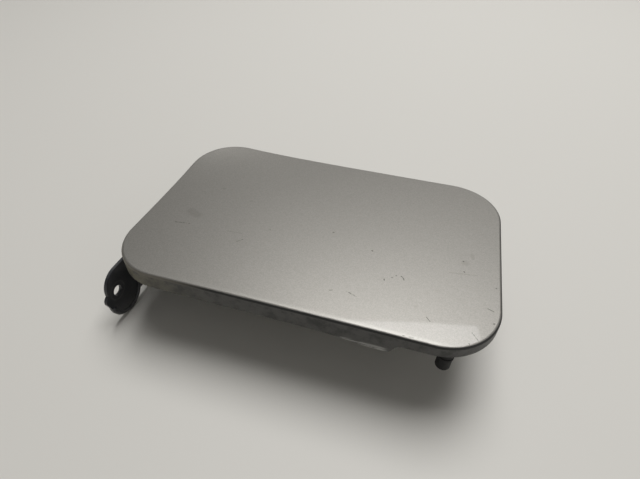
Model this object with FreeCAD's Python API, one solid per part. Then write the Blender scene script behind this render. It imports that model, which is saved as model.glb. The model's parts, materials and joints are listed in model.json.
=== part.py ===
import FreeCAD, Part
import os
from FreeCAD import Vector

# Fuel filler flap of a car: painted skin, reinforcement, hinge, latch striker and rubber buffers.
# All sizes in millimetres. Working frame: X from hinge to latch side, Y across, Z out of the painted face,
# with its origin at the middle of the painted face. The finished pieces are moved so that the part
# stands on Z = 0 with the middle of its footprint at the origin.

# Painted skin
PANEL_LENGTH = 190.0
PANEL_DEPTH = 122.0
CORNER_RADIUS = 28.0
SKIN_THICKNESS = 0.9
EDGE_RADIUS = 1.4
FLANGE_HEIGHT = 9.2
LATCH_FLANGE_HEIGHT = 5.7
TONGUE_HEIGHT = 11.6
TONGUE_INSET = 83.0
TONGUE_RAMP = 36.0
LATCH_FLANGE_RAMP = 8.0
CORNER_FLARE = 5.6
FLARE_DEGREE_ALONG = 6
FLARE_DEGREE_ACROSS = 5
SIDE_SAG = 1.0
BACK_SAG = 0.5
FRONT_BOW = 1.2
HINGE_DROOP = 0.7
CROWN = 0.9
CROWN_MARGIN = 4.0

# Reinforcement behind the skin
INNER_THICKNESS = 0.8
RIM_INSET = 3.6
RIM_WIDTH = 10.0
HAT_FLOOR_DEPTH = 8.4
HAT_TAPER = 5.0
DRAIN_SIZE = 14.0
DRAIN_OFFSET_X = 22.0
DRAIN_OFFSET_Y = 26.0

# Hinge arm
ARM_THICKNESS = 1.5
ARM_WIDTH = 35.0
ARM_FOOT_INSET = 19.0
ARM_FOOT_LENGTH = 32.0
ARM_STEP_RUN = 9.0
ARM_FLANGE_CLEARANCE = 2.0
ARM_EYE_RADIUS = 5.5
ARM_CHEEK_DROP = 5.0
ARM_CHEEK_INSET = 17.0
RIVET_DIAMETER = 4.8
RIVET_HEAD_DIAMETER = 9.0
RIVET_HEAD_HEIGHT = 1.6
RIVET_SPACING_X = 18.0
RIVET_SPACING_Y = 19.0
RIVET_CLEARANCE = 0.02

# Hinge pin and what turns on it
PIN_SETBACK = 9.0
PIN_DROP = 21.4
PIN_DIAMETER = 5.0
PIN_HEAD_DIAMETER = 8.0
PIN_HEAD_HEIGHT = 2.0
PIN_SEAT_CLEARANCE = 0.02
PIN_RUNNING_CLEARANCE = 0.05
BUSH_WALL = 1.0
BUSH_FLANGE_DIAMETER = 10.0
BUSH_FLANGE_THICKNESS = 1.0
WASHER_THICKNESS = 0.8
WASHER_DIAMETER = 9.5
END_PLAY = 0.1
CLIP_THICKNESS = 0.8
CLIP_DIAMETER = 9.5
CLIP_GROOVE_DEPTH = 0.6
PIN_TAIL = 1.6

# Hinge base
BASE_THICKNESS = 1.6
BASE_SETBACK = 0.5
BASE_TOP_DROP = 13.3
BASE_STRIP_BOTTOM_DROP = 39.7
BASE_STOP_GAP = 0.3
EAR_RADIUS = 6.0
LOBE_TOP_RADIUS = 10.6
LOBE_TOP_OFFSET = 52.4
LOBE_BOTTOM_RADIUS = 12.0
LOBE_BOTTOM_OFFSET = 52.0
LOBE_BEAD_RADIUS = 1.0
LOBE_BEAD_INSET = 0.3
NECK_RADIUS = 3.0
REST_HEIGHT = 45.4
BOLT_SPACING = 112.2
BOLT_DROP = 26.5
BOLT_HOLE_DIAMETER = 5.8
SHOULDER_RADIUS = 3.5
SHOULDER_INSET = 1.0
SHOULDER_DROP = 28.0

# Latch striker
STRIKER_INSET = 23.0
STRIKER_THICKNESS = 2.0
STRIKER_WIDTH = 26.0
STRIKER_FOOT_LENGTH = 22.0
STRIKER_SLOT_WIDTH = 13.0
STRIKER_SLOT_HEIGHT = 9.0
STRIKER_SLOT_RISE = 9.0
STRIKER_TIP_RADIUS = 6.0
STRIKER_RIVET_SPACING = 14.0

# Rubber buffers
BUFFER_INSET_X = 20.5
BUFFER_INSET_Y = 8.0
BUFFER_DIAMETER = 6.8
BUFFER_TIP_DROP = 21.5
BUFFER_HEAD_DIAMETER = 7.8
BUFFER_HEAD_HEIGHT = 3.0
BUFFER_RIB_HEIGHT = 1.2
BUFFER_RIB_DEPTH = 0.3
BUFFER_RIB_PITCH = 3.2
BUFFER_RIB_COUNT = 3
BUFFER_TIP_CHAMFER = 0.6
STUD_DIAMETER = 4.0
STUD_LENGTH = 9.0
STUD_CLEARANCE = 0.05

# Derived places
TALL = REST_HEIGHT + PANEL_DEPTH
HINGE_EDGE_X = -PANEL_LENGTH / 2
LATCH_EDGE_X = PANEL_LENGTH / 2
TONGUE_START = LATCH_EDGE_X - TONGUE_INSET
ARM_FOOT_START_X = HINGE_EDGE_X + ARM_FOOT_INSET
ARM_FOOT_END_X = ARM_FOOT_START_X + ARM_FOOT_LENGTH
STRIKER_X = LATCH_EDGE_X - STRIKER_INSET
BUFFER_X = LATCH_EDGE_X - BUFFER_INSET_X
BUFFER_Y = PANEL_DEPTH / 2 - BUFFER_INSET_Y
PIN_X = HINGE_EDGE_X - PIN_SETBACK
PIN_Z = -PIN_DROP
BASE_FRONT_X = HINGE_EDGE_X - BASE_SETBACK
BASE_BACK_X = BASE_FRONT_X - BASE_THICKNESS
FLOOR_UNDERSIDE_Z = -HAT_FLOOR_DEPTH
ARM_TOP_Z = -FLANGE_HEIGHT - ARM_FLANGE_CLEARANCE
ARM_SIDE_Y = ARM_WIDTH / 2
WASHER_INNER_Y = ARM_SIDE_Y + END_PLAY
BUSH_INNER_Y = WASHER_INNER_Y + WASHER_THICKNESS + END_PLAY
EAR_INNER_Y = BUSH_INNER_Y + BUSH_FLANGE_THICKNESS
EAR_OUTER_Y = EAR_INNER_Y + BASE_THICKNESS
BUSH_HOLE_RADIUS = PIN_DIAMETER / 2 + PIN_RUNNING_CLEARANCE
BUSH_RADIUS = BUSH_HOLE_RADIUS + BUSH_WALL
STOP_Z = PIN_Z - ARM_CHEEK_DROP
NOTCH_Z = STOP_Z - BASE_STOP_GAP
ORIGIN_X = (LATCH_EDGE_X + PIN_X - EAR_RADIUS) / 2
SIDES = (-1, 1)


def box(x0, x1, y0, y1, z0, z1):
    return Part.makeBox(x1 - x0, y1 - y0, z1 - z0, Vector(x0, y0, z0))


def cylinder_x(radius, x0, x1, y, z):
    return Part.makeCylinder(radius, x1 - x0, Vector(x0, y, z), Vector(1, 0, 0))


def cylinder_y(radius, y0, y1, x, z):
    return Part.makeCylinder(radius, y1 - y0, Vector(x, y0, z), Vector(0, 1, 0))


def cylinder_z(radius, z0, z1, x, y):
    return Part.makeCylinder(radius, z1 - z0, Vector(x, y, z0), Vector(0, 0, 1))


def rounded_rectangle(length, depth, radius, z):
    """Closed wire of a rounded rectangle about the Z axis at height z."""
    a = length / 2
    b = depth / 2
    corners = [(a - radius, b - radius, 0), (radius - a, b - radius, 90),
               (radius - a, radius - b, 180), (a - radius, radius - b, 270)]
    edges = [Part.makeCircle(radius, Vector(x, y, z), Vector(0, 0, 1), start, start + 90)
             for x, y, start in corners]
    sides = []
    for index in range(len(edges)):
        end = edges[index].Vertexes[-1].Point
        begin = edges[(index + 1) % len(edges)].Vertexes[0].Point
        sides.append(Part.makeLine(end, begin))
    return Part.Wire(Part.__sortEdges__(edges + sides))


def outline_prism(inset, z0, z1):
    """Upright prism over the panel's outline, drawn in by the inset."""
    wire = rounded_rectangle(PANEL_LENGTH - 2 * inset, PANEL_DEPTH - 2 * inset, CORNER_RADIUS - inset, z0)
    return Part.Face(wire).extrude(Vector(0, 0, z1 - z0))


def outline_frustum(top_inset, top_z, bottom_inset, bottom_z):
    """Tapered solid between two inset copies of the panel's outline."""
    wires = []
    for inset, z in ((top_inset, top_z), (bottom_inset, bottom_z)):
        wires.append(rounded_rectangle(PANEL_LENGTH - 2 * inset, PANEL_DEPTH - 2 * inset,
                                       CORNER_RADIUS - inset, z))
    return Part.makeLoft(wires, True, True)


def crown_block(drop):
    """Everything below the painted face's crowned surface, whose rear hinge corner flares up."""
    rows = [(-HINGE_DROOP, -SIDE_SAG, 0), (-HINGE_DROOP, CROWN, -BACK_SAG),
            (FRONT_BOW, CROWN, 0), (0, 0, 0)]
    surface = Part.BezierSurface()
    surface.increase(len(rows) - 1, len(rows[0]) - 1)
    length = PANEL_LENGTH + 2 * CROWN_MARGIN
    depth = PANEL_DEPTH + 2 * CROWN_MARGIN
    for i, row in enumerate(rows):
        for j, height in enumerate(row):
            x = -length / 2 + length * i / (len(rows) - 1)
            y = -depth / 2 + depth * j / (len(row) - 1)
            surface.setPole(i + 1, j + 1, Vector(x, y, height - drop))
    surface.increase(FLARE_DEGREE_ALONG, FLARE_DEGREE_ACROSS)
    corner = surface.getPole(1, FLARE_DEGREE_ACROSS + 1)
    surface.setPole(1, FLARE_DEGREE_ACROSS + 1, corner + Vector(0, 0, CORNER_FLARE))
    return surface.toShape().extrude(Vector(0, 0, -TALL))


def top_rounded(solid, radius):
    """Round the long edge loop where the crowned face meets the flange."""
    edges = [e for e in solid.Edges if e.BoundBox.ZMin > -EDGE_RADIUS - SIDE_SAG]
    return solid.makeFillet(radius, edges)


def flange_trim():
    """Solid below the flange's lower edge, which swells to a tongue and steps back to the latch side."""
    left = -PANEL_LENGTH
    right = PANEL_LENGTH
    tongue_end = TONGUE_START + TONGUE_RAMP
    swell = [(TONGUE_START, -FLANGE_HEIGHT), (tongue_end, -TONGUE_HEIGHT),
             (tongue_end + LATCH_FLANGE_RAMP, -LATCH_FLANGE_HEIGHT)]
    curve = Part.BSplineCurve()
    level = Vector(1, 0, 0)
    points = [Vector(x, -PANEL_DEPTH, z) for x, z in swell]
    curve.interpolate(Points=points, Tangents=[level] * len(points), TangentFlags=[True] * len(points))
    rest = [(swell[-1]), (right, -LATCH_FLANGE_HEIGHT), (right, -TALL), (left, -TALL),
            (left, -FLANGE_HEIGHT), (swell[0])]
    lines = Part.makePolygon([Vector(x, -PANEL_DEPTH, z) for x, z in rest])
    wire = Part.Wire([curve.toShape()] + lines.Edges)
    return Part.Face(wire).extrude(Vector(0, 2 * PANEL_DEPTH, 0))


def outer_panel():
    outside = top_rounded(outline_prism(0, -REST_HEIGHT, REST_HEIGHT).common(crown_block(0)), EDGE_RADIUS)
    hollow = outline_prism(SKIN_THICKNESS, -REST_HEIGHT, REST_HEIGHT).common(crown_block(SKIN_THICKNESS))
    hollow = top_rounded(hollow, EDGE_RADIUS - SKIN_THICKNESS)
    return outside.cut(hollow).cut(flange_trim())


def rivet_places():
    """Middles of the arm's rivets on the floor of the reinforcement."""
    middle = (ARM_FOOT_START_X + ARM_FOOT_END_X) / 2
    return [(middle + i * RIVET_SPACING_X / 2, j * RIVET_SPACING_Y / 2) for i in SIDES for j in SIDES]


def striker_rivet_places():
    x = STRIKER_X - STRIKER_FOOT_LENGTH / 2
    return [(x, j * STRIKER_RIVET_SPACING / 2) for j in SIDES]


def rivet_holes(places):
    radius = RIVET_DIAMETER / 2 + RIVET_CLEARANCE
    return [cylinder_z(radius, -REST_HEIGHT, 0, x, y) for x, y in places]


def inner_panel():
    """Pressed hat: a rim that lies on the skin, sloping walls and a flat floor with drain holes."""
    wall_inset = RIM_INSET + RIM_WIDTH
    floor_inset = wall_inset + HAT_TAPER
    under_skin = crown_block(SKIN_THICKNESS)
    rim = outline_prism(RIM_INSET, -REST_HEIGHT, REST_HEIGHT).common(under_skin)
    rim = rim.cut(crown_block(SKIN_THICKNESS + INNER_THICKNESS))
    hat = outline_frustum(wall_inset - HAT_TAPER, HAT_FLOOR_DEPTH, floor_inset, FLOOR_UNDERSIDE_Z)
    hollow = outline_frustum(wall_inset - HAT_TAPER + INNER_THICKNESS, HAT_FLOOR_DEPTH + INNER_THICKNESS,
                             floor_inset + INNER_THICKNESS, FLOOR_UNDERSIDE_Z + INNER_THICKNESS)
    panel = rim.fuse(hat.common(under_skin)).cut(hollow)
    drains = [cylinder_z(DRAIN_SIZE / 2, -REST_HEIGHT, 0, i * DRAIN_OFFSET_X, j * DRAIN_OFFSET_Y)
              for i in SIDES for j in SIDES]
    return panel.cut(drains + rivet_holes(rivet_places() + striker_rivet_places())).removeSplitter()


def strip_along_y(outline, y0, y1):
    wire = Part.makePolygon([Vector(x, y0, z) for x, z in outline + outline[:1]])
    return Part.Face(wire).extrude(Vector(0, y1 - y0, 0))


def hinge_arm():
    """Channel with a riveted foot, a step under the skin's flange and two cheeks with pin eyes."""
    foot_z = FLOOR_UNDERSIDE_Z
    step_x = ARM_FOOT_START_X - ARM_STEP_RUN
    arm = strip_along_y([(ARM_FOOT_END_X, foot_z), (ARM_FOOT_START_X, foot_z), (step_x, ARM_TOP_Z),
                         (PIN_X, ARM_TOP_Z), (PIN_X, ARM_TOP_Z - ARM_THICKNESS),
                         (step_x, ARM_TOP_Z - ARM_THICKNESS), (ARM_FOOT_START_X, foot_z - ARM_THICKNESS),
                         (ARM_FOOT_END_X, foot_z - ARM_THICKNESS)], -ARM_SIDE_Y, ARM_SIDE_Y)
    cheek_end = ARM_FOOT_START_X + ARM_CHEEK_INSET
    for side in SIDES:
        y0 = min(side * ARM_SIDE_Y, side * (ARM_SIDE_Y - ARM_THICKNESS))
        y1 = y0 + ARM_THICKNESS
        cheek = strip_along_y([(cheek_end, foot_z), (ARM_FOOT_START_X, foot_z), (step_x, ARM_TOP_Z),
                               (PIN_X, ARM_TOP_Z), (PIN_X, STOP_Z), (BASE_FRONT_X, STOP_Z)], y0, y1)
        arm = arm.fuse([cheek, cylinder_y(ARM_EYE_RADIUS, y0, y1, PIN_X, PIN_Z)])
    bore = cylinder_y(PIN_DIAMETER / 2 + PIN_SEAT_CLEARANCE, -ARM_WIDTH, ARM_WIDTH, PIN_X, PIN_Z)
    return arm.removeSplitter().cut([bore] + rivet_holes(rivet_places())).removeSplitter()


def rivets(places, carrier_thickness):
    """Rivets through the reinforcement's floor and the piece under it."""
    top = FLOOR_UNDERSIDE_Z + INNER_THICKNESS
    bottom = FLOOR_UNDERSIDE_Z - carrier_thickness
    solids = []
    for x, y in places:
        shank = cylinder_z(RIVET_DIAMETER / 2, bottom, top, x, y)
        closed_head = cylinder_z(RIVET_HEAD_DIAMETER / 2, bottom - RIVET_HEAD_HEIGHT, bottom, x, y)
        set_head = cylinder_z(RIVET_HEAD_DIAMETER / 2, top, top + RIVET_HEAD_HEIGHT, x, y)
        solids.append(shank.fuse([closed_head, set_head]).removeSplitter())
    return Part.makeCompound(solids)


def hinge_pin():
    radius = PIN_DIAMETER / 2
    end = EAR_OUTER_Y + END_PLAY + CLIP_THICKNESS + PIN_TAIL
    pin = cylinder_y(radius, -EAR_OUTER_Y - END_PLAY, end, PIN_X, PIN_Z)
    head = cylinder_y(PIN_HEAD_DIAMETER / 2, -EAR_OUTER_Y - END_PLAY - PIN_HEAD_HEIGHT,
                      -EAR_OUTER_Y - END_PLAY, PIN_X, PIN_Z)
    groove_y = EAR_OUTER_Y + END_PLAY
    groove = cylinder_y(CLIP_DIAMETER, groove_y, groove_y + CLIP_THICKNESS, PIN_X, PIN_Z)
    core = cylinder_y(radius - CLIP_GROOVE_DEPTH, groove_y, groove_y + CLIP_THICKNESS, PIN_X, PIN_Z)
    return pin.fuse(head).cut(groove.cut(core)).removeSplitter()


def pin_clip():
    """Open retaining ring that snaps into the pin's groove from below."""
    y0 = EAR_OUTER_Y + END_PLAY
    y1 = y0 + CLIP_THICKNESS
    ring = cylinder_y(CLIP_DIAMETER / 2, y0, y1, PIN_X, PIN_Z)
    seat = PIN_DIAMETER / 2 - CLIP_GROOVE_DEPTH + PIN_SEAT_CLEARANCE
    mouth = box(PIN_X - seat, PIN_X + seat, y0, y1, PIN_Z - CLIP_DIAMETER, PIN_Z)
    return ring.cut([cylinder_y(seat, y0, y1, PIN_X, PIN_Z), mouth])


def pin_bush(side):
    """Flanged bush: sleeve through the ear, flange on the ear's inner face."""
    y0, y1 = sorted((side * EAR_INNER_Y, side * EAR_OUTER_Y))
    f0, f1 = sorted((side * BUSH_INNER_Y, side * EAR_INNER_Y))
    sleeve = cylinder_y(BUSH_RADIUS, y0, y1, PIN_X, PIN_Z)
    flange = cylinder_y(BUSH_FLANGE_DIAMETER / 2, f0, f1, PIN_X, PIN_Z)
    bore = cylinder_y(BUSH_HOLE_RADIUS, -TALL, TALL, PIN_X, PIN_Z)
    return sleeve.fuse(flange).cut(bore).removeSplitter()


def friction_washers():
    solids = []
    for side in SIDES:
        y0, y1 = sorted((side * WASHER_INNER_Y, side * (WASHER_INNER_Y + WASHER_THICKNESS)))
        disc = cylinder_y(WASHER_DIAMETER / 2, y0, y1, PIN_X, PIN_Z)
        solids.append(disc.cut(cylinder_y(PIN_DIAMETER / 2 + PIN_SEAT_CLEARANCE, y0, y1, PIN_X, PIN_Z)))
    return Part.makeCompound(solids)


def lobe(side):
    """One bolt lobe of the base: a round at the bolt, a wider foot and a shoulder where the foot begins."""
    top = Vector(BASE_BACK_X, side * LOBE_TOP_OFFSET, -BASE_TOP_DROP - LOBE_TOP_RADIUS)
    shoulder_y = LOBE_TOP_OFFSET + LOBE_TOP_RADIUS - SHOULDER_INSET
    shoulder = Vector(BASE_BACK_X, side * shoulder_y, -SHOULDER_DROP)
    foot = Vector(BASE_BACK_X, side * LOBE_BOTTOM_OFFSET, -REST_HEIGHT + LOBE_BOTTOM_RADIUS)
    rounds = [cylinder_x(radius, BASE_BACK_X, BASE_FRONT_X, middle.y, middle.z)
              for radius, middle in ((LOBE_TOP_RADIUS, top), (SHOULDER_RADIUS, shoulder),
                                     (LOBE_BOTTOM_RADIUS, foot))]
    outward = Vector(0, side, 0)
    web = Part.makePolygon([top, shoulder + outward * SHOULDER_RADIUS, foot + outward * LOBE_BOTTOM_RADIUS,
                            foot, top])
    return rounds + [Part.Face(web).extrude(Vector(BASE_THICKNESS, 0, 0))]


def lobe_bead(side):
    """Half-round bead along the lower rim of a lobe, which stiffens the foot that touches down."""
    reach = LOBE_BOTTOM_RADIUS - LOBE_BEAD_INSET - LOBE_BEAD_RADIUS
    middle = Vector(BASE_FRONT_X, side * LOBE_BOTTOM_OFFSET, -REST_HEIGHT + LOBE_BOTTOM_RADIUS)
    ring = Part.makeTorus(reach, LOBE_BEAD_RADIUS, middle, Vector(1, 0, 0))
    lower = box(BASE_BACK_X, BASE_FRONT_X + BASE_THICKNESS, middle.y - LOBE_BOTTOM_RADIUS,
                middle.y + LOBE_BOTTOM_RADIUS, -REST_HEIGHT, middle.z)
    return ring.common(lower)


def hinge_base():
    """Stamped plate with two bolt lobes, a notch that stops the arm and two ears bent back for the pin."""
    plate = box(BASE_BACK_X, BASE_FRONT_X, -LOBE_TOP_OFFSET, LOBE_TOP_OFFSET,
                -BASE_STRIP_BOTTOM_DROP, -BASE_TOP_DROP)
    pieces = []
    beads = []
    cuts = [box(BASE_BACK_X, BASE_FRONT_X, -EAR_INNER_Y, EAR_INNER_Y, NOTCH_Z, 0)]
    for side in SIDES:
        pieces += lobe(side)
        beads.append(lobe_bead(side))
        e0, e1 = sorted((side * EAR_INNER_Y, side * EAR_OUTER_Y))
        pieces.append(box(PIN_X, BASE_FRONT_X, e0, e1, PIN_Z - EAR_RADIUS, PIN_Z + EAR_RADIUS))
        pieces.append(cylinder_y(EAR_RADIUS, e0, e1, PIN_X, PIN_Z))
        cuts.append(cylinder_y(BUSH_RADIUS, e0, e1, PIN_X, PIN_Z))
        cuts.append(cylinder_x(BOLT_HOLE_DIAMETER / 2, BASE_BACK_X, BASE_FRONT_X,
                               side * BOLT_SPACING / 2, -BOLT_DROP))
    stamping = plate.fuse(pieces).removeSplitter()
    necks = [e for e in stamping.Edges if round(e.Length - BASE_THICKNESS, 3) == 0
             and round(e.CenterOfMass.z + BASE_STRIP_BOTTOM_DROP, 3) == 0]
    return stamping.makeFillet(NECK_RADIUS, necks).fuse(beads).cut(cuts).removeSplitter()


def latch_striker():
    """Angle with a foot under the floor and a slotted leg that reaches the rest plane."""
    x1 = STRIKER_X
    x0 = x1 - STRIKER_THICKNESS
    half = STRIKER_WIDTH / 2
    foot = box(x1 - STRIKER_FOOT_LENGTH, x1, -half, half, FLOOR_UNDERSIDE_Z - STRIKER_THICKNESS,
               FLOOR_UNDERSIDE_Z)
    leg = box(x0, x1, -half, half, -REST_HEIGHT, FLOOR_UNDERSIDE_Z)
    tips = [e for e in leg.Edges if e.BoundBox.ZMax - e.BoundBox.ZMin < STRIKER_THICKNESS
            and e.BoundBox.YMax - e.BoundBox.YMin < STRIKER_THICKNESS and e.BoundBox.ZMin < -REST_HEIGHT / 2]
    leg = leg.makeFillet(STRIKER_TIP_RADIUS, tips)
    slot_z = -REST_HEIGHT + STRIKER_SLOT_RISE
    slot = box(x0, x1, -STRIKER_SLOT_WIDTH / 2, STRIKER_SLOT_WIDTH / 2, slot_z, slot_z + STRIKER_SLOT_HEIGHT)
    return foot.fuse(leg).removeSplitter().cut([slot] + rivet_holes(striker_rivet_places())).removeSplitter()


def under_reinforcement():
    return crown_block(SKIN_THICKNESS + INNER_THICKNESS)


def buffer(side):
    """Rubber buffer with a wide head on the rim, ribs and a flat end, hollow for its stud."""
    y = side * BUFFER_Y
    radius = BUFFER_DIAMETER / 2
    body = cylinder_z(radius, -BUFFER_TIP_DROP, 0, BUFFER_X, y)
    tip = [e for e in body.Edges if e.BoundBox.ZMax < -BUFFER_TIP_DROP / 2]
    body = body.makeChamfer(BUFFER_TIP_CHAMFER, tip)
    head_bottom = -SKIN_THICKNESS - INNER_THICKNESS - BUFFER_HEAD_HEIGHT
    ribs = [cylinder_z(BUFFER_HEAD_DIAMETER / 2, head_bottom, 0, BUFFER_X, y)]
    for index in range(BUFFER_RIB_COUNT):
        z = head_bottom - (index + 1) * BUFFER_RIB_PITCH
        ribs.append(cylinder_z(radius + BUFFER_RIB_DEPTH, z, z + BUFFER_RIB_HEIGHT, BUFFER_X, y))
    bore = cylinder_z(STUD_DIAMETER / 2 + STUD_CLEARANCE, -STUD_LENGTH - STUD_CLEARANCE, 0, BUFFER_X, y)
    return body.fuse(ribs).removeSplitter().common(under_reinforcement()).cut(bore)


def buffer_studs():
    studs = [cylinder_z(STUD_DIAMETER / 2, -STUD_LENGTH, 0, BUFFER_X, side * BUFFER_Y)
             for side in SIDES]
    return Part.makeCompound([stud.common(under_reinforcement()) for stud in studs])


PIECES = {
    "outer_panel": outer_panel(),
    "inner_panel": inner_panel(),
    "hinge_arm": hinge_arm(),
    "arm_rivets": rivets(rivet_places(), ARM_THICKNESS),
    "hinge_pin": hinge_pin(),
    "pin_clip": pin_clip(),
    "friction_washers": friction_washers(),
    "pin_bush_front": pin_bush(-1),
    "pin_bush_rear": pin_bush(1),
    "hinge_base": hinge_base(),
    "latch_striker": latch_striker(),
    "striker_rivets": rivets(striker_rivet_places(), STRIKER_THICKNESS),
    "buffer_front": buffer(-1),
    "buffer_rear": buffer(1),
    "buffer_studs": buffer_studs(),
}

os.makedirs("parts", exist_ok=True)
for name, shape in PIECES.items():
    shape.translate(Vector(-ORIGIN_X, 0, REST_HEIGHT))
    shape.exportStep("parts/" + name + ".step")
    print(name, shape.isValid(), len(shape.Solids), round(shape.Volume, 1), shape.BoundBox)
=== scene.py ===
import bmesh
import bpy
import json
from math import radians
from mathutils import Matrix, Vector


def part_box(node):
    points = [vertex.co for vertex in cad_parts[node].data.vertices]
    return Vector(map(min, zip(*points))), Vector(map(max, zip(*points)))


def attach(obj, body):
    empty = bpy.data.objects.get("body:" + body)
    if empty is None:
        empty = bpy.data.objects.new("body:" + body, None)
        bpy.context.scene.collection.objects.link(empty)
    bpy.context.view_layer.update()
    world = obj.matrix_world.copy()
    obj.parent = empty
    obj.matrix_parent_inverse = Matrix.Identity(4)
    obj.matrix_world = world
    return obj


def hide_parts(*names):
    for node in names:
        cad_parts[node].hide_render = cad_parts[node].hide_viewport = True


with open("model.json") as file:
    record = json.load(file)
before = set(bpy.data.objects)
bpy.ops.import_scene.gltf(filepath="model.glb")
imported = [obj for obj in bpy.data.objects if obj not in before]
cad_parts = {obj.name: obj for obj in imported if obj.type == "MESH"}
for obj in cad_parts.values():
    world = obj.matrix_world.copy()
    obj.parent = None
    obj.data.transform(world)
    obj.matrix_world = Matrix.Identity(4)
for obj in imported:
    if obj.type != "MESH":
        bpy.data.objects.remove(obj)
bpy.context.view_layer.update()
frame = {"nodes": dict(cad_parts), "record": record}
nodes = frame["nodes"]


# Painted skin: one steel pressing with a turned-down flange and the reinforcement glued in behind it.
# It is sprayed in silver metallic under a clear coat, and carries fine flakes, a faint orange peel
# and the small scratches, specks and smudges of a used flap.
def new_material(name):
    """Fresh node material with a Principled shader wired to its output, and that shader."""
    material = bpy.data.materials.new(name)
    material.use_nodes = True
    tree = material.node_tree
    tree.nodes.clear()
    shader = tree.nodes.new("ShaderNodeBsdfPrincipled")
    output = tree.nodes.new("ShaderNodeOutputMaterial")
    tree.links.new(shader.outputs["BSDF"], output.inputs["Surface"])
    return material, shader


def new_group(name, inputs, outputs):
    """Empty node group with named sockets, with what it is given and what it puts out."""
    group = bpy.data.node_groups.new(name, "ShaderNodeTree")
    for way, sockets in (("INPUT", inputs), ("OUTPUT", outputs)):
        for label, kind in sockets.items():
            group.interface.new_socket(label, in_out=way, socket_type="NodeSocket" + kind)
    return group, group.nodes.new("NodeGroupInput").outputs, group.nodes.new("NodeGroupOutput").inputs


def add(tree, kind, settings=None, **inputs):
    """New node of a kind, with inputs given as values or sockets: by name, or by number as in0, in1."""
    node = tree.nodes.new(kind)
    for key, value in (settings or {}).items():
        setattr(node, key, value)
    for key, value in inputs.items():
        numbered = key.startswith("in")
        socket = node.inputs[int(key.removeprefix("in")) if numbered else key.replace("_", " ")]
        if isinstance(value, bpy.types.NodeSocket):
            tree.links.new(value, socket)
        else:
            socket.default_value = value
    return node


def object_place(tree):
    return add(tree, "ShaderNodeTexCoord").outputs["Object"]


def split(tree, vector):
    return add(tree, "ShaderNodeSeparateXYZ", Vector=vector).outputs


def value_math(tree, operation, first, second=0.0, clamp=False):
    node = add(tree, "ShaderNodeMath", {"operation": operation, "use_clamp": clamp}, in0=first, in1=second)
    return node.outputs["Value"]


def vector_math(tree, operation, first, second=(0.0, 0.0, 0.0), output="Vector"):
    node = add(tree, "ShaderNodeVectorMath", {"operation": operation}, in0=first, in1=second)
    return node.outputs[output]


def ramp(tree, value, low, high, start=0.0, end=1.0):
    """Value mapped smoothly from the range low to high onto start to end, and held at both ends."""
    node = add(tree, "ShaderNodeMapRange", {"interpolation_type": "SMOOTHSTEP"}, Value=value,
               From_Min=low, From_Max=high, To_Min=start, To_Max=end)
    return node.outputs["Result"]


def tint(tree, amount, first, second):
    """Colour that goes from the first to the second as the amount goes from 0 to 1."""
    node = add(tree, "ShaderNodeMix", {"data_type": "RGBA"}, Factor=amount, in6=first, in7=second)
    return next(socket for socket in node.outputs if socket.type == "RGBA")


def noise(tree, place, scale, detail=2.0, roughness=0.5):
    return add(tree, "ShaderNodeTexNoise", Vector=place, Scale=scale, Detail=detail,
               Roughness=roughness).outputs["Fac"]


def paint_node(name, material):
    mesh = nodes[name].data
    mesh.materials.clear()
    mesh.materials.append(material)


MILLIMETRE = 0.001
STROKE_CORE = 0.35


def stroke_group():
    """Node group that marks a short straight stroke: 1 along its line, fading to 0 at its width."""
    group, given, out = new_group(
        "stroke", {"Place": "Vector", "Start": "Vector", "Run": "Vector", "Width": "Float"},
        {"Mask": "Float"})
    from_start = vector_math(group, "SUBTRACT", given["Place"], given["Start"])
    along = vector_math(group, "DOT_PRODUCT", from_start, given["Run"], "Value")
    run_squared = vector_math(group, "DOT_PRODUCT", given["Run"], given["Run"], "Value")
    share = value_math(group, "DIVIDE", along, run_squared, clamp=True)
    nearest = add(group, "ShaderNodeVectorMath", {"operation": "SCALE"}, in0=given["Run"], Scale=share)
    apart = vector_math(group, "SUBTRACT", from_start, nearest.outputs["Vector"])
    distance = vector_math(group, "LENGTH", apart, output="Value")
    reach = value_math(group, "DIVIDE", distance, given["Width"])
    group.links.new(ramp(group, reach, 1.0, STROKE_CORE), out["Mask"])
    return group


def strokes(tree, place, marks):
    """Mask of many strokes, each given in millimetres on the face as start x, y, run x, y and width."""
    flat = vector_math(tree, "MULTIPLY", place, (1.0, 1.0, 0.0))
    total = 0.0
    for x, y, run_x, run_y, width in marks:
        start = (x * MILLIMETRE, y * MILLIMETRE, 0.0)
        run = (run_x * MILLIMETRE, run_y * MILLIMETRE, 0.0)
        mark = add(tree, "ShaderNodeGroup", {"node_tree": stroke}, Place=flat, Start=start, Run=run,
                   Width=width * MILLIMETRE)
        total = value_math(tree, "MAXIMUM", mark.outputs["Mask"], total)
    return total


def grain_group():
    """Node group for the fine unevenness of a finish, as a normal."""
    group, given, out = new_group(
        "grain", {"Place": "Vector", "Scale": "Float", "Depth": "Float"}, {"Normal": "Vector"})
    relief = noise(group, given["Place"], given["Scale"])
    bump = add(group, "ShaderNodeBump", Strength=1.0, Distance=given["Depth"], Height=relief)
    group.links.new(bump.outputs["Normal"], out["Normal"])
    return group


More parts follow.
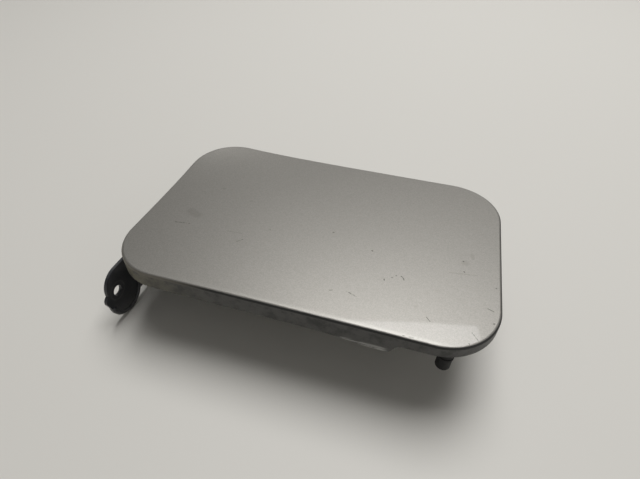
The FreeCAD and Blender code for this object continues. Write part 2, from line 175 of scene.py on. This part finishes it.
SILVER = (0.328, 0.314, 0.289, 1.0)
SILVER_DARK_FLAKE = (0.277, 0.268, 0.247, 1.0)
SCRATCH_DARK = (0.10, 0.095, 0.085, 1.0)
FLAKES_PER_METRE = 2600.0
SCRATCH_BREAKS_PER_METRE = 900.0
SCRATCH_BREAK_RANGE = (0.35, 0.55)
DARK_MARKS = [(-67.7, -22.0, 9.1, 1.1, 0.30), (16.6, -5.1, 0.4, 0.2, 0.55), (39.2, -12.5, 0.5, -0.3, 0.5),
              (48.7, -30.0, 0.1, -0.9, 0.42), (52.0, -28.1, 0.7, 0.8, 0.36), (53.7, -26.2, 0.4, 0.1, 0.36),
              (56.1, -25.8, 0.7, -0.5, 0.36), (57.2, -26.8, 0.5, -1.0, 0.42), (26.0, -44.6, 1.3, 0.6, 0.24),
              (83.8, -6.4, 0.3, 0.3, 0.5), (84.6, -13.3, 0.3, -0.4, 0.45), (96.0, -33.5, 2.5, -1.0, 0.28),
              (89.7, -49.0, 2.9, -3.8, 0.25), (70.1, -46.4, 2.0, -2.2, 0.25), (88.7, -55.1, 0.1, -2.4, 0.45),
              (33.9, -42.9, 4.6, -1.7, 0.34), (-16.1, -13.2, 0.3, 0.1, 0.4), (-29.0, -26.9, 2.5, 2.6, 0.22),
              (99.5, -19.7, 0.3, -0.2, 0.4), (98.5, -41.5, 0.3, 0.2, 0.45), (62.0, -59.4, 4.4, 0.2, 0.3)]
FAINT_MARKS = [(84.6, -7.3, 0.6, 0.4, 2.4), (88.0, -0.2, 0.4, -2.4, 1.3), (77.9, -16.1, 13.1, 1.9, 0.5),
               (-64.2, -10.9, 5.0, -2.2, 3.4), (-37.2, -20.4, 8.3, 0.2, 0.4), (72.8, -29.7, 1.2, 0.1, 0.6),
               (65.0, -42.3, 0.4, 0.2, 0.9), (-35.8, 7.3, 0.4, 0.2, 0.8), (-56.5, 14.0, 0.6, 0.1, 1.2)]
FAINT_STRENGTH = 0.16
silver_paint, shader = new_material("silver_paint")
tree = silver_paint.node_tree
place = object_place(tree)
spot = split(tree, place)
flakes = add(tree, "ShaderNodeTexVoronoi", Vector=place, Scale=FLAKES_PER_METRE).outputs["Color"]
flake_value = add(tree, "ShaderNodeSeparateColor", Color=flakes).outputs["Red"]
face_colour = tint(tree, flake_value, SILVER_DARK_FLAKE, SILVER)
scratch_break = ramp(tree, noise(tree, place, SCRATCH_BREAKS_PER_METRE), *SCRATCH_BREAK_RANGE)
stroke = stroke_group()
scratches = value_math(tree, "MULTIPLY", strokes(tree, place, DARK_MARKS), scratch_break)
smudges = value_math(tree, "MULTIPLY", strokes(tree, place, FAINT_MARKS), FAINT_STRENGTH)
face_colour = tint(tree, value_math(tree, "MAXIMUM", scratches, smudges), face_colour, SCRATCH_DARK)

# The flange is dull and carries a painted shade, much darker than the face, turning lighter and olive
# towards the hinge, with dirt in patches.
FLANGE_SHADE_GREY = (0.086, 0.085, 0.081, 1.0)
FLANGE_SHADE_OLIVE = (0.142, 0.131, 0.086, 1.0)
FLANGE_DIRT = (0.034, 0.034, 0.032, 1.0)
FLANGE_TILT_START = 0.35
FLANGE_TILT_FULL = 0.12
OLIVE_START = -0.02
DIRT_PER_METRE = 160.0
DIRT_DETAIL = 6.0
DIRT_HARSHNESS = 0.65
DIRT_RANGE = (0.42, 0.68)
panel_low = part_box("outer_panel")[0]
# Painted shade: faces that turn down from the face get the darker flange colour instead of the silver.
upright = split(tree, add(tree, "ShaderNodeTexCoord").outputs["Normal"])["Z"]
on_flange = ramp(tree, upright, FLANGE_TILT_START, FLANGE_TILT_FULL)
olive = ramp(tree, spot["X"], OLIVE_START, panel_low.x)
flange_shade_and_dirt_colour = tint(tree, olive, FLANGE_SHADE_GREY, FLANGE_SHADE_OLIVE)
dirt = ramp(tree, noise(tree, place, DIRT_PER_METRE, DIRT_DETAIL, DIRT_HARSHNESS), *DIRT_RANGE)
flange_shade_and_dirt_colour = tint(tree, dirt, flange_shade_and_dirt_colour, FLANGE_DIRT)

# Rubbing has left a whitish, streaky scuff along the foot of the flange's tongue.
SCUFF_WHITE = (0.40, 0.395, 0.38, 1.0)
SCUFF_START = 0.034
SCUFF_END = 0.058
SCUFF_FADE = 0.004
SCUFF_HEIGHT = 0.0032
SCUFF_STREAKS = (120.0, 120.0, 1400.0)
SCUFF_DETAIL = 3.0
SCUFF_RANGE = (0.37, 0.60)
scuff_top = panel_low.z + SCUFF_HEIGHT
streaks = noise(tree, vector_math(tree, "MULTIPLY", place, SCUFF_STREAKS), 1.0, SCUFF_DETAIL)
scuff = value_math(tree, "MULTIPLY", ramp(tree, spot["X"], SCUFF_START, SCUFF_START + SCUFF_FADE),
                   ramp(tree, spot["X"], SCUFF_END, SCUFF_END - SCUFF_FADE))
scuff = value_math(tree, "MULTIPLY", scuff, ramp(tree, spot["Z"], scuff_top, scuff_top - SCUFF_HEIGHT / 2))
scuff = value_math(tree, "MULTIPLY", scuff, ramp(tree, streaks, *SCUFF_RANGE))
flange_shade_and_dirt_colour = tint(tree, scuff, flange_shade_and_dirt_colour, SCUFF_WHITE)
# The flange's painted shade replaces the silver face colour where the surface turns down.
panel_colour = tint(tree, on_flange, face_colour, flange_shade_and_dirt_colour)

# A painted dark reflection lies in the line where the face turns into the flange: black, but thin and brown
# at the hinge.
EDGE_REFLECTION_DARK = (0.022, 0.022, 0.021, 1.0)
EDGE_REFLECTION_BROWN = (0.110, 0.096, 0.068, 1.0)
EDGE_TILT_START = 0.94
EDGE_TILT_FULL = 0.80
EDGE_BROWN_END = -0.062
EDGE_BLACK_START = -0.022
EDGE_BROWN_STRENGTH = 0.7
# Painted dark reflection: the rounded fold, between these two tilts, is given a dark colour.
blackness = ramp(tree, spot["X"], EDGE_BROWN_END, EDGE_BLACK_START)
edge_reflection_colour = tint(tree, blackness, EDGE_REFLECTION_BROWN, EDGE_REFLECTION_DARK)
dark_edge_reflection = value_math(tree, "MULTIPLY", ramp(tree, upright, EDGE_TILT_START, EDGE_TILT_FULL),
                       ramp(tree, upright, FLANGE_TILT_FULL, FLANGE_TILT_START))
dark_edge_reflection = value_math(tree, "MULTIPLY", dark_edge_reflection,
                       ramp(tree, blackness, 0.0, 1.0, EDGE_BROWN_STRENGTH, 1.0))
tree.links.new(tint(tree, dark_edge_reflection, panel_colour, edge_reflection_colour), shader.inputs["Base Color"])

# The face has metal flakes under a glossy coat, while the flange and the painted dark line along its edge
# shine little.
FACE_METALLIC = 0.85
FLANGE_METALLIC = 0.2
FACE_ROUGHNESS = 0.46
FLANGE_ROUGHNESS = 0.55
FACE_COAT = 0.42
FLANGE_COAT = 0.05
COAT_ROUGHNESS = 0.04
dull = value_math(tree, "MAXIMUM", on_flange, dark_edge_reflection)
tree.links.new(ramp(tree, dull, 0.0, 1.0, FACE_METALLIC, FLANGE_METALLIC), shader.inputs["Metallic"])
tree.links.new(ramp(tree, dull, 0.0, 1.0, FACE_ROUGHNESS, FLANGE_ROUGHNESS), shader.inputs["Roughness"])
tree.links.new(ramp(tree, dull, 0.0, 1.0, FACE_COAT, FLANGE_COAT), shader.inputs["Coat Weight"])
shader.inputs["Coat Roughness"].default_value = COAT_ROUGHNESS

# Over its orange peel, the near edge rolls down a little before the fold, which gives it a bright rim.
PEEL_PER_METRE = 420.0
PEEL_DEPTH = 0.000012
ROLL_WIDTH = 0.0032
ROLL_DEPTH = 0.00034
grain = grain_group()
peel = add(tree, "ShaderNodeGroup", {"node_tree": grain}, Place=place, Scale=PEEL_PER_METRE,
           Depth=PEEL_DEPTH)
rolled = value_math(tree, "SUBTRACT", panel_low.y + ROLL_WIDTH, spot["Y"])
rolled = value_math(tree, "DIVIDE", rolled, ROLL_WIDTH, clamp=True)
drop = value_math(tree, "SUBTRACT", 1.0, value_math(tree, "MULTIPLY", rolled, rolled))
roll = add(tree, "ShaderNodeBump", Strength=1.0, Distance=ROLL_DEPTH, Height=drop,
           Normal=peel.outputs["Normal"])
tree.links.new(roll.outputs["Normal"], shader.inputs["Normal"])
paint_node("outer_panel", silver_paint)

# Reinforcement: a pressed steel hat behind the skin, glued to it along its rim.
# It carries only thin overspray of the body colour over grey primer, so it looks dull and cloudy.
SOILING_DETAIL = 5.0


def soiling_group():
    """Node group for a finish that a second colour clouds over, with the cloud's mask for the gloss."""
    group, given, out = new_group(
        "soiling", {"Place": "Vector", "Scale": "Float", "Start": "Float", "Full": "Float",
                    "Clean": "Color", "Soiled": "Color"}, {"Colour": "Color", "Mask": "Float"})
    cloud = noise(group, given["Place"], given["Scale"], SOILING_DETAIL)
    mask = ramp(group, cloud, given["Start"], given["Full"])
    group.links.new(tint(group, mask, given["Clean"], given["Soiled"]), out["Colour"])
    group.links.new(mask, out["Mask"])
    return group


def soiled_material(name, clean, soiled, scale, spread, gloss_change, relief):
    """Material that soiling clouds in colour and roughness, over a grain given by its scale and depth."""
    material, shader = new_material(name)
    tree = material.node_tree
    place = object_place(tree)
    cloud = add(tree, "ShaderNodeGroup", {"node_tree": soiling}, Place=place, Scale=scale, Start=spread[0],
                Full=spread[1], Clean=clean, Soiled=soiled).outputs
    tree.links.new(cloud["Colour"], shader.inputs["Base Color"])
    tree.links.new(ramp(tree, cloud["Mask"], 0.0, 1.0, *gloss_change), shader.inputs["Roughness"])
    surface = add(tree, "ShaderNodeGroup", {"node_tree": grain}, Place=place, Scale=relief[0],
                  Depth=relief[1])
    tree.links.new(surface.outputs["Normal"], shader.inputs["Normal"])
    return material, shader


INNER_GREY = (0.30, 0.295, 0.28, 1.0)
INNER_PRIMER = (0.20, 0.195, 0.185, 1.0)
INNER_CLOUDS_PER_METRE = 45.0
INNER_CLOUD_SPREAD = (0.3, 0.7)
INNER_GLOSS_CHANGE = (0.45, 0.6)
OVERSPRAY_GRAIN = (1100.0, 0.00002)
INNER_METALLIC = 0.3
soiling = soiling_group()
inner_paint, shader = soiled_material("inner_paint", INNER_GREY, INNER_PRIMER, INNER_CLOUDS_PER_METRE,
                                      INNER_CLOUD_SPREAD, INNER_GLOSS_CHANGE, OVERSPRAY_GRAIN)
shader.inputs["Metallic"].default_value = INNER_METALLIC
paint_node("inner_panel", inner_paint)

# Hinge base, hinge arm and latch striker: steel stampings, dip coated black and dull from handling.
# Washers have left a ring round the base's bolt holes, and the feet that touch down are paler in patches.
BLACK_COAT = (0.021, 0.022, 0.025, 1.0)
BLACK_DUSTY = (0.049, 0.050, 0.053, 1.0)
WASHER_MARK = (0.085, 0.083, 0.080, 1.0)
FOOT_PALE = (0.075, 0.073, 0.070, 1.0)
HANDLING_PER_METRE = 90.0
HANDLING_SPREAD = (0.4, 0.7)
BLACK_GLOSS_CHANGE = (0.32, 0.5)
DIP_COAT_GRAIN = (900.0, 0.00002)
WEAR_PER_METRE = 360.0
WEAR_DETAIL = 4.0
WASHER_MARK_RADIUS = 0.0052
WASHER_MARK_WIDTH = 0.0008
FOOT_PALE_HEIGHT = 0.009


def lay_over(tree, shader, mask, colour):
    """One more colour over the shader's own, where the mask is 1."""
    under = shader.inputs["Base Color"].links[0].from_socket
    tree.links.new(tint(tree, mask, under, colour), shader.inputs["Base Color"])


bolts = next(mount for mount in frame["record"]["mounts"] if mount["name"] == "hinge_bolts")
bolt_offset = bolts["dims"]["spacing_x_mm"] * MILLIMETRE / 2
black_coat, shader = soiled_material("black_coat", BLACK_COAT, BLACK_DUSTY, HANDLING_PER_METRE,
                                     HANDLING_SPREAD, BLACK_GLOSS_CHANGE, DIP_COAT_GRAIN)
tree = black_coat.node_tree
place = object_place(tree)
wear = noise(tree, place, WEAR_PER_METRE, WEAR_DETAIL)
mirrored = vector_math(tree, "MULTIPLY", vector_math(tree, "ABSOLUTE", place), (0.0, 1.0, 1.0))
from_bolt = vector_math(tree, "SUBTRACT", mirrored, (0.0, bolt_offset, bolts["pos_m"][2]))
bolt_distance = vector_math(tree, "LENGTH", from_bolt, output="Value")
off_ring = value_math(tree, "ABSOLUTE", value_math(tree, "SUBTRACT", bolt_distance, WASHER_MARK_RADIUS))
washer_ring = ramp(tree, off_ring, WASHER_MARK_WIDTH, 0.0)
lay_over(tree, shader, value_math(tree, "MULTIPLY", washer_ring, wear), WASHER_MARK)
# Paler towards the bottom, in patches, within a few millimetres of the floor.
foot = ramp(tree, split(tree, place)["Z"], FOOT_PALE_HEIGHT, 0.0)
lay_over(tree, shader, value_math(tree, "MULTIPLY", foot, wear), FOOT_PALE)
for name in ("hinge_base", "hinge_arm", "latch_striker"):
    paint_node(name, black_coat)

# Pin, clip, friction washers and studs: turned steel, zinc plated, with clouded plating.
# The pin turns in the bushes with a washer at each ear, and the studs are welded to the reinforcement.
ZINC = (0.55, 0.55, 0.54, 1.0)
ZINC_CLOUDED = (0.36, 0.36, 0.35, 1.0)
PLATING_CLOUDS_PER_METRE = 400.0
PLATING_SPREAD = (0.3, 0.7)
ZINC_GLOSS_CHANGE = (0.28, 0.42)
PLATING_GRAIN = (1500.0, 0.000008)
zinc, shader = soiled_material("zinc", ZINC, ZINC_CLOUDED, PLATING_CLOUDS_PER_METRE,
                               PLATING_SPREAD, ZINC_GLOSS_CHANGE, PLATING_GRAIN)
shader.inputs["Metallic"].default_value = 1.0
for name in ("hinge_pin", "pin_clip", "friction_washers", "buffer_studs"):
    paint_node(name, zinc)

# Rivets: zinc plated steel, set cold through the reinforcement and the foot of the arm or of the striker.
# Each has a low domed head on both sides of the sheets, drawn up tight on a round shank.
RIVET_HEAD_RADIUS = 0.0045
RIVET_HEAD_HEIGHT = 0.0016
RIVET_SHANK_RADIUS = 0.0024
RIVET_SIDES = 32
RIVET_SHARP_ANGLE = 40.0
ARM_RIVET_SPACING_X = 0.018
ARM_RIVET_SPACING_Y = 0.019
STRIKER_RIVET_SPACING = 0.014
SIDES = (-1, 1)
MERGE_DISTANCE = 0.000001


def vertices(geometry):
    return [element for element in geometry if isinstance(element, bmesh.types.BMVert)]


def open_edges(mesh):
    return [edge for edge in mesh.edges if edge.is_boundary]


def everything(mesh):
    return mesh.verts[:] + mesh.edges[:] + mesh.faces[:]


def rivet_row(name, node, offsets):
    """Domed rivets in place of a node, at offsets from the middle of its box."""
    low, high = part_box(node)
    middle = (low + high) / 2
    half_grip = (high.z - low.z) / 2 - RIVET_HEAD_HEIGHT
    narrowing = RIVET_SHANK_RADIUS / RIVET_HEAD_RADIUS
    rivets = bmesh.new()
    bmesh.ops.create_uvsphere(rivets, u_segments=RIVET_SIDES, v_segments=RIVET_SIDES // 2,
                              radius=RIVET_HEAD_RADIUS)
    bmesh.ops.scale(rivets, vec=(1.0, 1.0, RIVET_HEAD_HEIGHT / RIVET_HEAD_RADIUS), verts=rivets.verts)
    bmesh.ops.bisect_plane(rivets, geom=everything(rivets), dist=MERGE_DISTANCE, plane_co=(0.0, 0.0, 0.0),
                           plane_no=(0.0, 0.0, 1.0), clear_inner=True)
    underside = bmesh.ops.extrude_edge_only(rivets, edges=open_edges(rivets))["geom"]
    bmesh.ops.scale(rivets, vec=(narrowing, narrowing, 1.0), verts=vertices(underside))
    shank = bmesh.ops.extrude_edge_only(rivets, edges=open_edges(rivets))["geom"]
    bmesh.ops.translate(rivets, vec=(0.0, 0.0, -half_grip), verts=vertices(shank))
    bmesh.ops.translate(rivets, vec=(0.0, 0.0, half_grip), verts=rivets.verts)
    bmesh.ops.mirror(rivets, geom=everything(rivets), matrix=Matrix.Identity(4), merge_dist=MERGE_DISTANCE,
                     axis="Z")
    bmesh.ops.remove_doubles(rivets, verts=rivets.verts, dist=MERGE_DISTANCE)
    bmesh.ops.recalc_face_normals(rivets, faces=rivets.faces)
    pattern = everything(rivets)
    for x, y in offsets:
        copy = bmesh.ops.duplicate(rivets, geom=pattern)["geom"]
        bmesh.ops.translate(rivets, vec=(middle.x + x, middle.y + y, middle.z), verts=vertices(copy))
    bmesh.ops.delete(rivets, geom=vertices(pattern), context="VERTS")
    mesh = bpy.data.meshes.new(name)
    rivets.to_mesh(mesh)
    rivets.free()
    mesh.shade_smooth()
    mesh.set_sharp_from_angle(angle=radians(RIVET_SHARP_ANGLE))
    mesh.materials.append(zinc)
    piece = bpy.data.objects.new(name, mesh)
    bpy.context.scene.collection.objects.link(piece)
    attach(piece, "flap")
    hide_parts(node)


rivet_row("domed_arm_rivets", "arm_rivets",
          [(i * ARM_RIVET_SPACING_X / 2, j * ARM_RIVET_SPACING_Y / 2) for i in SIDES for j in SIDES])
rivet_row("domed_striker_rivets", "striker_rivets", [(0.0, j * STRIKER_RIVET_SPACING / 2) for j in SIDES])

# Bushes: off-white nylon mouldings, pressed into the ears of the hinge base.
# Old grease has yellowed them and makes them shine in patches.
NYLON = (0.62, 0.60, 0.54, 1.0)
NYLON_GREASED = (0.42, 0.39, 0.32, 1.0)
GREASE_PER_METRE = 350.0
GREASE_SPREAD = (0.4, 0.7)
NYLON_GLOSS_CHANGE = (0.5, 0.3)
NYLON_GRAIN = (900.0, 0.00001)
nylon = soiled_material("nylon", NYLON, NYLON_GREASED, GREASE_PER_METRE, GREASE_SPREAD,
                        NYLON_GLOSS_CHANGE, NYLON_GRAIN)[0]
for name in ("pin_bush_front", "pin_bush_rear"):
    paint_node(name, nylon)

# Buffers: moulded black rubber plugs with ribs, pushed on studs at the latch side.
# A greyish bloom of dust lies on them, and the rubber hardly shines.
RUBBER = (0.005, 0.005, 0.005, 1.0)
RUBBER_DUSTY = (0.011, 0.011, 0.011, 1.0)
BLOOM_PER_METRE = 700.0
BLOOM_SPREAD = (0.3, 0.7)
RUBBER_GLOSS_CHANGE = (0.55, 0.7)
RUBBER_GRAIN = (2500.0, 0.00002)
RUBBER_SPECULAR = 0.3
rubber, shader = soiled_material("black_rubber", RUBBER, RUBBER_DUSTY, BLOOM_PER_METRE, BLOOM_SPREAD,
                                 RUBBER_GLOSS_CHANGE, RUBBER_GRAIN)
shader.inputs["Specular IOR Level"].default_value = RUBBER_SPECULAR
for name in ("buffer_front", "buffer_rear"):
    paint_node(name, rubber)

# Stage: a plain pale floor under a large soft light behind the flap, with a weak fill at the right.
# The room is grey, but pale towards the horizon where it is seen or mirrored.
# The camera looks down on the near side, as in the photograph.
FLOOR_HALF_SIZE = 2.0
FLOOR_COLOUR = (0.725, 0.706, 0.662, 1.0)
FLOOR_ROUGHNESS = 0.6
bpy.ops.mesh.primitive_plane_add(size=2 * FLOOR_HALF_SIZE)
floor = bpy.context.object
floor.name = "floor"
floor_material, shader = new_material("floor")
shader.inputs["Base Color"].default_value = FLOOR_COLOUR
shader.inputs["Roughness"].default_value = FLOOR_ROUGHNESS
floor.data.materials.append(floor_material)

LIGHT_HEIGHT = 2.0
LIGHT_LENGTH = 1.36
LIGHT_DEPTH = 1.46
LIGHT_OFFSET_X = 0.12
LIGHT_OFFSET_Y = 0.77
LIGHT_TURN = 16.0
LIGHT_POWER = 37.0
lamp = bpy.data.lights.new("softbox", "AREA")
lamp.shape = "RECTANGLE"
lamp.size = LIGHT_LENGTH
lamp.size_y = LIGHT_DEPTH
lamp.energy = LIGHT_POWER
softbox = bpy.data.objects.new("softbox", lamp)
softbox.location = (LIGHT_OFFSET_X, LIGHT_OFFSET_Y, LIGHT_HEIGHT)
softbox.rotation_euler.z = radians(LIGHT_TURN)
bpy.context.scene.collection.objects.link(softbox)

FILL_PLACE = (1.2, -0.8, 0.7)
FILL_SIZE = 0.8
FILL_POWER = 1.3
fill_lamp = bpy.data.lights.new("fill", "AREA")
fill_lamp.size = FILL_SIZE
fill_lamp.energy = FILL_POWER
fill = bpy.data.objects.new("fill", fill_lamp)
fill.location = FILL_PLACE
fill.rotation_euler = fill.location.to_track_quat("Z", "Y").to_euler()
bpy.context.scene.collection.objects.link(fill)

WORLD_GREY = (0.14, 0.138, 0.132, 1.0)
HORIZON_PALE = (0.60, 0.59, 0.57, 1.0)
HORIZON_TOP = 0.32
HORIZON_FULL = 0.08
world = bpy.data.worlds.new("room")
world.use_nodes = True
tree = world.node_tree
skyward = split(tree, add(tree, "ShaderNodeTexCoord").outputs["Generated"])["Z"]
rays = add(tree, "ShaderNodeLightPath").outputs
seen = value_math(tree, "MAXIMUM", rays["Is Camera Ray"], rays["Is Glossy Ray"])
seen = value_math(tree, "MAXIMUM", seen, rays["Is Transmission Ray"])
horizon = value_math(tree, "MULTIPLY", ramp(tree, skyward, HORIZON_TOP, HORIZON_FULL), seen)
tree.links.new(tint(tree, horizon, WORLD_GREY, HORIZON_PALE), tree.nodes["Background"].inputs["Color"])
bpy.context.scene.world = world

CAMERA_PLACE = (0.0580, -0.1721, 0.1940)
CAMERA_TURN = (48.25, -0.87, 16.96)
CAMERA_LENS = 24.13
CAMERA_NEAR = 0.01
camera_data = bpy.data.cameras.new("camera")
camera_data.lens = CAMERA_LENS
camera_data.clip_start = CAMERA_NEAR
camera = bpy.data.objects.new("camera", camera_data)
camera.location = CAMERA_PLACE
camera.rotation_euler = [radians(angle) for angle in CAMERA_TURN]
bpy.context.scene.collection.objects.link(camera)
bpy.context.scene.camera = camera
bpy.context.scene.view_settings.view_transform = "Standard"
